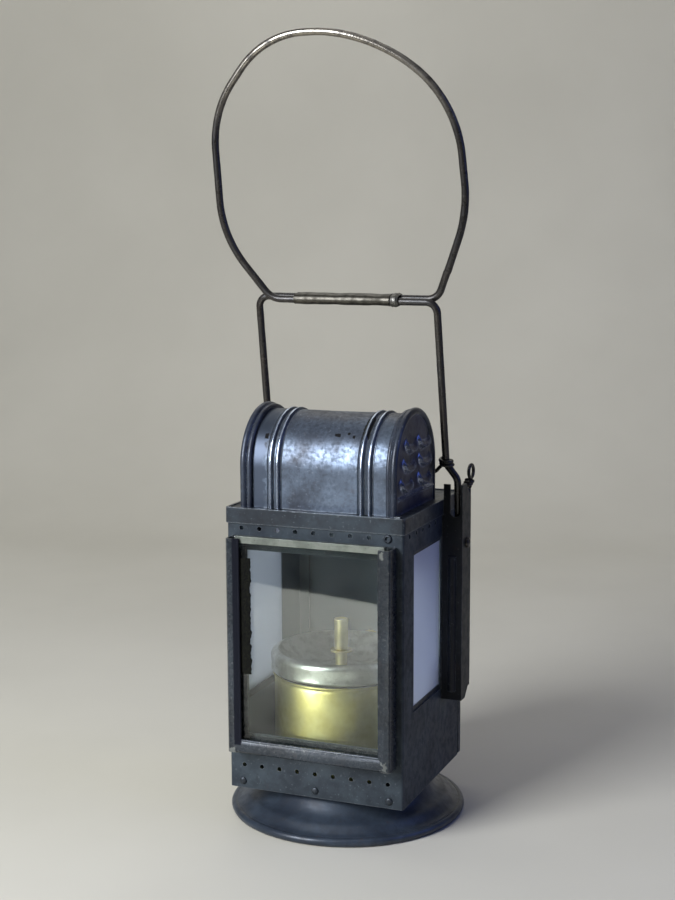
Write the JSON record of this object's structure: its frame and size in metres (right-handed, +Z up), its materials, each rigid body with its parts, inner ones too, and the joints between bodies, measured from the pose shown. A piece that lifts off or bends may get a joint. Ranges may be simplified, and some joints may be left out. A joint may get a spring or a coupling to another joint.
{
  "type": "railway hand lamp",
  "caption": "Square tinplate hand lamp on a round foot, with a barrel hood, wire bail, sliding front glass, opal side panes, rear door and acetylene generator.",
  "frame": {"origin": "on the ground at the middle of the round foot", "axes": "+Z up; -Y towards the front glass; +X to the lamp's right as seen from the front"},
  "size_m": [0.1422, 0.1304, 0.4228],
  "materials": {
    "lacquered_tin": "blue-black stoving lacquer on tinplate, satin, worn to metal on its edges",
    "hood_tin": "blue-black lacquer on tinplate, more worn and heat-dulled on top",
    "foot_tin": "blue-black lacquer, brown rust along the rim",
    "front_glass": "clear flat glass, slightly grey",
    "bare_tin": "bare tin strip, dull",
    "opal_glass": "white opal glass, satin",
    "rail_tin": "dark lacquer inside the body",
    "bail_steel": "black lacquer on drawn steel wire, polished by the hand on top",
    "sleeve_tin": "bare sheet rolled round the grip, tarnished",
    "solder": "dull solder",
    "rivet_steel": "worn rivet heads",
    "brass": "tarnished brass",
    "tinned_lid": "tinned sheet, dull and stained",
    "gasket_rubber": "black rubber",
    "felt": "grey-brown felt",
    "packing_felt": "black felt, ragged at the edge",
    "steatite": "unglazed steatite, cream"
  },
  "bodies": {
    "body": {"foot_dish": "foot_tin", "body_shell": "lacquered_tin", "body_floor": "lacquered_tin", "front_channel": "lacquered_tin", "glass_packing": "packing_felt", "left_pane_holder": "rail_tin", "right_pane_holder": "rail_tin", "cap": "lacquered_tin", "hood_barrel": "hood_tin", "hood_left_cap": "hood_tin", "hood_right_cap": "hood_tin", "smoke_baffle": "rail_tin", "body_rivets": "rivet_steel", "left_bail_ear": "lacquered_tin", "right_bail_ear": "lacquered_tin", "body_knuckles": "lacquered_tin", "generator_seat": "rail_tin", "carbide_canister": "brass", "lid_gasket": "gasket_rubber", "generator_lid": "tinned_lid", "water_cup": "tinned_lid", "drip_tube": "brass", "carbide_basket": "tinned_lid", "felt_filter": "felt", "burner_tube": "brass", "burner_washer": "brass", "burner_tip": "steatite"},
    "bail": {"bail_wire": "bail_steel", "grip_sleeve": "sleeve_tin", "grip_splice": "solder", "bail_tie_wire": "bail_steel"},
    "glass": {"front_glass": "front_glass", "glass_binding": "bare_tin"},
    "left_pane": {"left_opal_pane": "opal_glass"},
    "right_pane": {"right_opal_pane": "opal_glass"},
    "door": {"rear_door": "lacquered_tin", "door_pull": "lacquered_tin", "door_knuckles": "lacquered_tin"},
    "pin": {"hinge_pin": "bail_steel"},
    "valve": {"drip_valve": "brass"}
  },
  "joints": [
    {"name": "bail_swing", "type": "hinge", "parent": "body", "child": "bail", "pos_m": [0, 0.0226, 0.15], "axis": [-1, 0, 0], "range_deg": [0, 30]},
    {"name": "glass_slide", "type": "slide", "parent": "body", "child": "glass", "axis": [0, 0, 1], "range_m": [0, 0.11]},
    {"name": "left_pane_slide", "type": "slide", "parent": "body", "child": "left_pane", "axis": [0, 1, 0], "range_m": [-0.004, 0.011]},
    {"name": "right_pane_slide", "type": "slide", "parent": "body", "child": "right_pane", "axis": [0, 1, 0], "range_m": [-0.004, 0.011]},
    {"name": "door_swing", "type": "hinge", "parent": "body", "child": "door", "pos_m": [0.053, 0.0498, 0.1], "axis": [0, 0, -1], "range_deg": [0, 150]},
    {"name": "hinge_pin_lift", "type": "slide", "parent": "body", "child": "pin", "axis": [0, 0, 1], "range_m": [0, 0.018]},
    {"name": "drip_valve_turn", "type": "hinge", "parent": "body", "child": "valve", "pos_m": [-0.0016, 0.034, 0.0844], "axis": [0, 1, 0], "range_deg": [0, 360]}
  ]
}
